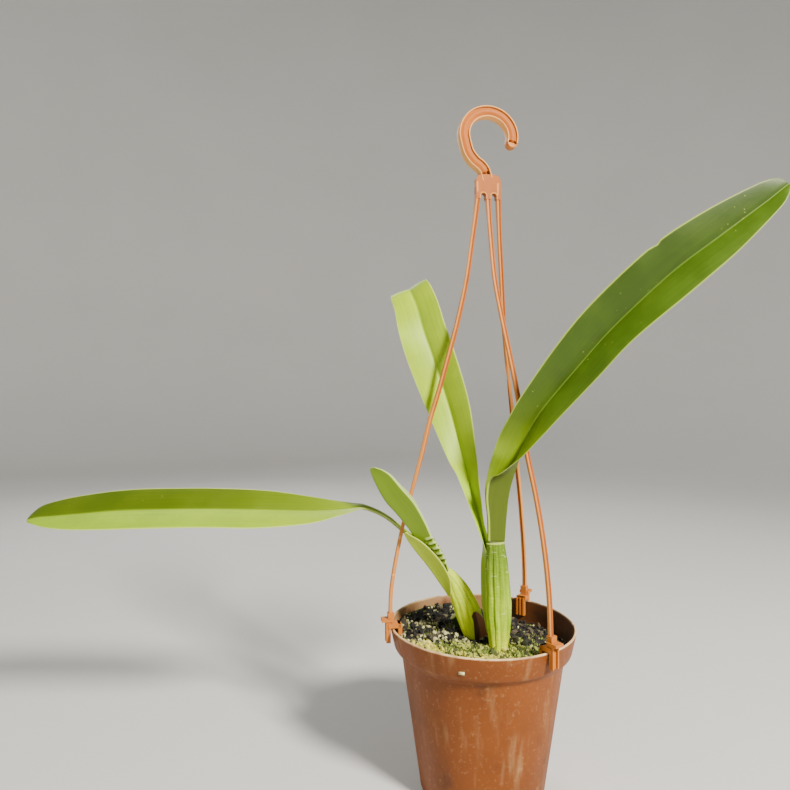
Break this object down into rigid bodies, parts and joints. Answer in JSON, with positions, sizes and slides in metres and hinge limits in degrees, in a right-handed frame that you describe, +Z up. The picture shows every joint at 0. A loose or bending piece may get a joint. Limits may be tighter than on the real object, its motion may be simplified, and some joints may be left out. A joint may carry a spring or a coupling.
{
  "type": "potted orchid",
  "caption": "Orchid plant with flattened ribbed bulbs and long strap leaves, in a round plastic pot filled with bark mix, with a clip-on hanger and hook.",
  "frame": {"origin": "centre of the pot's base, on the surface it stands on", "axes": "+Z up, +X towards the tip of the right leaf, -Y towards the viewer of the picture"},
  "size_m": [0.4538, 0.1446, 0.4416],
  "materials": {
    "pot_plastic": "satin terracotta-brown plastic, worn pale lip",
    "mix": "rough dark bark with pale grains and moss",
    "hanger_plastic": "satin orange-brown moulded plastic",
    "root": "pale corky roots",
    "bulb": "smooth green, ribbed lengthwise",
    "bulb_pale": "smooth yellow-green, ribbed lengthwise",
    "leaf": "smooth leathery green",
    "leaf_grey": "smooth greyish green",
    "sheath": "yellow-green with fine veins",
    "dry_scale": "dry brown papery scale",
    "old_bulb": "dark green, dull"
  },
  "bodies": {
    "root": {"pot": "pot_plastic", "potting_mix": "mix", "hanger": "hanger_plastic", "rhizome": "root", "bulb_a": "bulb", "leaf_right": "leaf", "leaf_upright": "leaf", "bulb_b": "bulb_pale", "leaf_long": "leaf", "leaf_short": "leaf_grey", "bract_green": "sheath", "bract_brown": "dry_scale", "back_bulb": "old_bulb"}
  },
  "joints": []
}
